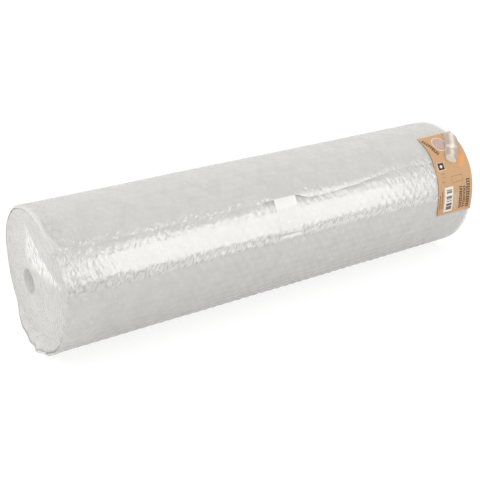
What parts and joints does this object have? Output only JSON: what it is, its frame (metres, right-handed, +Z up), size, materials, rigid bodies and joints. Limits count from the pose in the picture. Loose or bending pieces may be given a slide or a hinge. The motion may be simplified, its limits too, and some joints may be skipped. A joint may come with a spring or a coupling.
{
  "type": "bubble wrap roll",
  "caption": "Coreless roll of bubble film, flat side out, with a taped free end and a kraft paper label.",
  "frame": {"origin": "on the floor under the middle of the roll, at the middle of its flat spot", "axes": "+X along the roll towards its labelled end, -Y the front, +Z up"},
  "size_m": [0.5003, 0.1426, 0.1422],
  "materials": {
    "bubble_film": "gloss",
    "clear_tape": "gloss",
    "kraft_paper": "matte"
  },
  "bodies": {
    "root": {"film_roll": "bubble_film", "closing_tape": "clear_tape", "paper_label": "kraft_paper", "label_tape": "clear_tape"}
  },
  "joints": []
}
